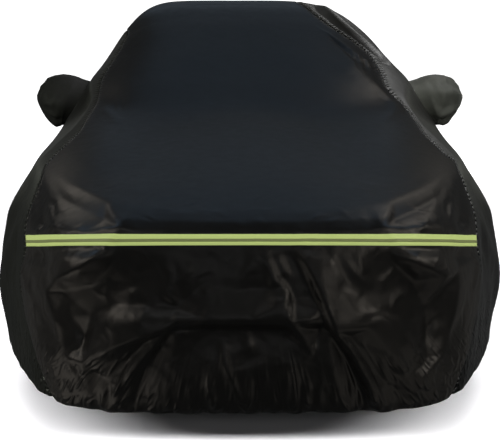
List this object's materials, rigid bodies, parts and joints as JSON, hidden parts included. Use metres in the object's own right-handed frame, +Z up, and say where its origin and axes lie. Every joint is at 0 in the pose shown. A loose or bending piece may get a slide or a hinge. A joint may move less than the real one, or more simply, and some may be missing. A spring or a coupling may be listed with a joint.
{
  "type": "car cover",
  "caption": "Hollow fitted cloth cover for a hatchback car: a long middle panel from hem to hem, rounded side panels, door mirror pockets and a reflective tape across the nose.",
  "frame": {"origin": "on the inside of the cloth at the highest point of the roof, on the middle line", "axes": "+Z up, +Y from the nose to the tail, +X to the right as seen from the front"},
  "size_m": [1.9, 4.3351, 1.278],
  "materials": {
    "middle_cloth": "blue-black coated polyester with a soft sheen",
    "side_cloth": "black coated polyester with a soft sheen",
    "lime_tape": "satin woven lime tape",
    "grey_strip": "grey-olive reflecting strip"
  },
  "bodies": {
    "root": {"centre_panel": "middle_cloth", "side_panel_left": "side_cloth", "side_panel_right": "side_cloth", "mirror_pocket_left": "side_cloth", "mirror_pocket_right": "side_cloth", "reflective_tape": "lime_tape", "reflective_strip": "grey_strip"}
  },
  "joints": []
}
